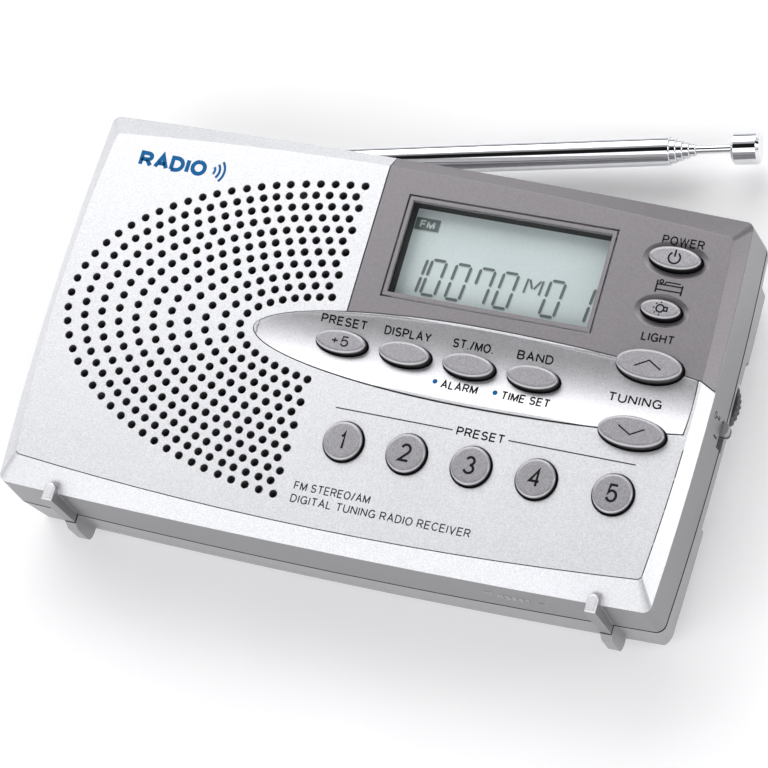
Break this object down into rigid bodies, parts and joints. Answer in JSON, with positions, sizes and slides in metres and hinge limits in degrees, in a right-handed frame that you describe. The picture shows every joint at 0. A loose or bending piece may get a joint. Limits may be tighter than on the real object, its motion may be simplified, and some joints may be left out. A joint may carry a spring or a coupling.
{
  "type": "pocket radio",
  "caption": "Pocket radio lying on its back: silver case with a dotted grille, digital display, push buttons, side volume wheel and telescopic antenna.",
  "frame": {"origin": "Centre of the flat back that the radio lies on.", "axes": "+X along the width to the right of the face, +Y up the face towards the antenna, +Z out of the face. The back faces -Z."},
  "size_m": [0.1156, 0.0893, 0.0241],
  "materials": {
    "silver_plastic": "fine metallic silver paint, satin",
    "grey_plastic": "metallic grey paint, satin",
    "panel_grey": "dark metallic grey paint, satin",
    "clear_plastic": "clear, polished",
    "lcd_glass": "reflective liquid crystal cell, semi-gloss",
    "white_plastic": "moulded, matte",
    "clear_guide": "clear moulded light guide",
    "conductive_rubber": "matte",
    "board_green": "solder mask over glass fibre, semi-gloss",
    "black_plastic": "moulded, matte",
    "tinned_steel": "tinned, semi-bright",
    "bright_steel": "plated, bright",
    "chrome": "polished chrome",
    "cone_paper": "pressed paper, matte",
    "black_cloth": "woven, matte",
    "ferrite": "pressed ferrite, matte",
    "cell_jacket": "printed steel can, gloss",
    "copper_wire": "enamelled copper",
    "button_grey": "metallic grey paint, semi-gloss",
    "wheel_grey": "moulded, fine teeth"
  },
  "bodies": {
    "case": {"front_shell": "silver_plastic", "rear_shell": "grey_plastic", "display_panel": "panel_grey", "control_panel": "silver_plastic", "display_lens": "clear_plastic", "lcd_panel": "lcd_glass", "lcd_frame": "white_plastic", "backlight_guide": "clear_guide", "zebra_strip": "conductive_rubber", "main_board": "board_green", "tact_switches": "black_plastic", "tuner_can": "tinned_steel", "controller_chip": "black_plastic", "quartz_crystal": "tinned_steel", "capacitors": "tinned_steel", "volume_pot": "tinned_steel", "lock_switch_body": "black_plastic", "earphone_jack": "black_plastic", "speaker_basket": "tinned_steel", "speaker_cone": "cone_paper", "speaker_magnet": "ferrite", "speaker_cloth": "black_cloth", "speaker_screws": "bright_steel", "battery_cells": "cell_jacket", "battery_contacts": "bright_steel", "battery_springs": "bright_steel", "ferrite_rod": "ferrite", "aerial_coil": "copper_wire", "case_screws": "bright_steel", "board_screws": "bright_steel"},
    "battery_door": {"battery_door": "grey_plastic"},
    "volume_wheel": {"volume_wheel": "wheel_grey"},
    "lock_slider": {"lock_slider": "grey_plastic"},
    "antenna_swivel": {"antenna_swivel": "chrome", "antenna_clip": "bright_steel", "antenna_tilt_pin": "bright_steel"},
    "antenna_base": {"antenna_knuckle": "chrome", "antenna_tube_1": "chrome"},
    "antenna_section_2": {"antenna_tube_2": "chrome"},
    "antenna_section_3": {"antenna_tube_3": "chrome"},
    "antenna_section_4": {"antenna_tube_4": "chrome"},
    "antenna_section_5": {"antenna_tube_5": "chrome"},
    "antenna_tip": {"antenna_rod": "chrome", "antenna_cap": "chrome"},
    "preset_shift_button": {"preset_shift_button": "button_grey"},
    "display_button": {"display_button": "button_grey"},
    "stereo_mono_button": {"stereo_mono_button": "button_grey"},
    "band_button": {"band_button": "button_grey"},
    "preset_button_1": {"preset_button_1": "button_grey"},
    "preset_button_2": {"preset_button_2": "button_grey"},
    "preset_button_3": {"preset_button_3": "button_grey"},
    "preset_button_4": {"preset_button_4": "button_grey"},
    "preset_button_5": {"preset_button_5": "button_grey"},
    "tuning_up_button": {"tuning_up_button": "button_grey"},
    "tuning_down_button": {"tuning_down_button": "button_grey"},
    "power_button": {"power_button": "button_grey"},
    "light_button": {"light_button": "button_grey"}
  },
  "joints": [
    {"name": "preset_shift_press", "type": "slide", "parent": "case", "child": "preset_shift_button", "axis": [0, 0, 1], "range_m": [-0.00035, 0], "stiffness_N_per_m": 3000},
    {"name": "display_press", "type": "slide", "parent": "case", "child": "display_button", "axis": [0, 0, 1], "range_m": [-0.00035, 0], "stiffness_N_per_m": 3000},
    {"name": "stereo_mono_press", "type": "slide", "parent": "case", "child": "stereo_mono_button", "axis": [0, 0, 1], "range_m": [-0.00035, 0], "stiffness_N_per_m": 3000},
    {"name": "band_press", "type": "slide", "parent": "case", "child": "band_button", "axis": [0, 0, 1], "range_m": [-0.00035, 0], "stiffness_N_per_m": 3000},
    {"name": "preset_1_press", "type": "slide", "parent": "case", "child": "preset_button_1", "axis": [0, 0, 1], "range_m": [-0.00035, 0], "stiffness_N_per_m": 3000},
    {"name": "preset_2_press", "type": "slide", "parent": "case", "child": "preset_button_2", "axis": [0, 0, 1], "range_m": [-0.00035, 0], "stiffness_N_per_m": 3000},
    {"name": "preset_3_press", "type": "slide", "parent": "case", "child": "preset_button_3", "axis": [0, 0, 1], "range_m": [-0.00035, 0], "stiffness_N_per_m": 3000},
    {"name": "preset_4_press", "type": "slide", "parent": "case", "child": "preset_button_4", "axis": [0, 0, 1], "range_m": [-0.00035, 0], "stiffness_N_per_m": 3000},
    {"name": "preset_5_press", "type": "slide", "parent": "case", "child": "preset_button_5", "axis": [0, 0, 1], "range_m": [-0.00035, 0], "stiffness_N_per_m": 3000},
    {"name": "tuning_up_press", "type": "slide", "parent": "case", "child": "tuning_up_button", "axis": [0, 0, 1], "range_m": [-0.00035, 0], "stiffness_N_per_m": 3000},
    {"name": "tuning_down_press", "type": "slide", "parent": "case", "child": "tuning_down_button", "axis": [0, 0, 1], "range_m": [-0.00035, 0], "stiffness_N_per_m": 3000},
    {"name": "power_press", "type": "slide", "parent": "case", "child": "power_button", "axis": [0, 0, 1], "range_m": [-0.00035, 0], "stiffness_N_per_m": 3000},
    {"name": "light_press", "type": "slide", "parent": "case", "child": "light_button", "axis": [0, 0, 1], "range_m": [-0.00035, 0], "stiffness_N_per_m": 3000},
    {"name": "volume_turn", "type": "hinge", "parent": "case", "child": "volume_wheel", "pos_m": [0.0513, 0.0061, 0.0077], "axis": [0, 0, 1], "range_deg": [-150, 150]},
    {"name": "lock_slide", "type": "slide", "parent": "case", "child": "lock_slider", "axis": [0, 1, 0], "range_m": [-0.0022, 0]},
    {"name": "door_slide", "type": "slide", "parent": "case", "child": "battery_door", "axis": [0, -1, 0], "range_m": [0, 0.022]},
    {"name": "antenna_turn", "type": "hinge", "parent": "case", "child": "antenna_swivel", "pos_m": [-0.0523, 0.03, 0.0055], "axis": [0, 0, 1], "range_deg": [-11.8, 168.2]},
    {"name": "antenna_tilt", "type": "hinge", "parent": "antenna_swivel", "child": "antenna_base", "pos_m": [-0.0523, 0.03, 0.0055], "axis": [-0.2045, 0.9789, 0], "range_deg": [0, 90]},
    {"name": "antenna_extend_2", "type": "slide", "parent": "antenna_base", "child": "antenna_section_2", "axis": [0.9789, 0.2045, 0], "range_m": [-0.0008, 0.07]},
    {"name": "antenna_extend_3", "type": "slide", "parent": "antenna_section_2", "child": "antenna_section_3", "axis": [0.9789, 0.2045, 0], "range_m": [-0.0008, 0.07]},
    {"name": "antenna_extend_4", "type": "slide", "parent": "antenna_section_3", "child": "antenna_section_4", "axis": [0.9789, 0.2045, 0], "range_m": [-0.0008, 0.07]},
    {"name": "antenna_extend_5", "type": "slide", "parent": "antenna_section_4", "child": "antenna_section_5", "axis": [0.9789, 0.2045, 0], "range_m": [-0.0008, 0.07]},
    {"name": "antenna_extend_tip", "type": "slide", "parent": "antenna_section_5", "child": "antenna_tip", "axis": [0.9789, 0.2045, 0], "range_m": [-0.0057, 0.062]}
  ]
}
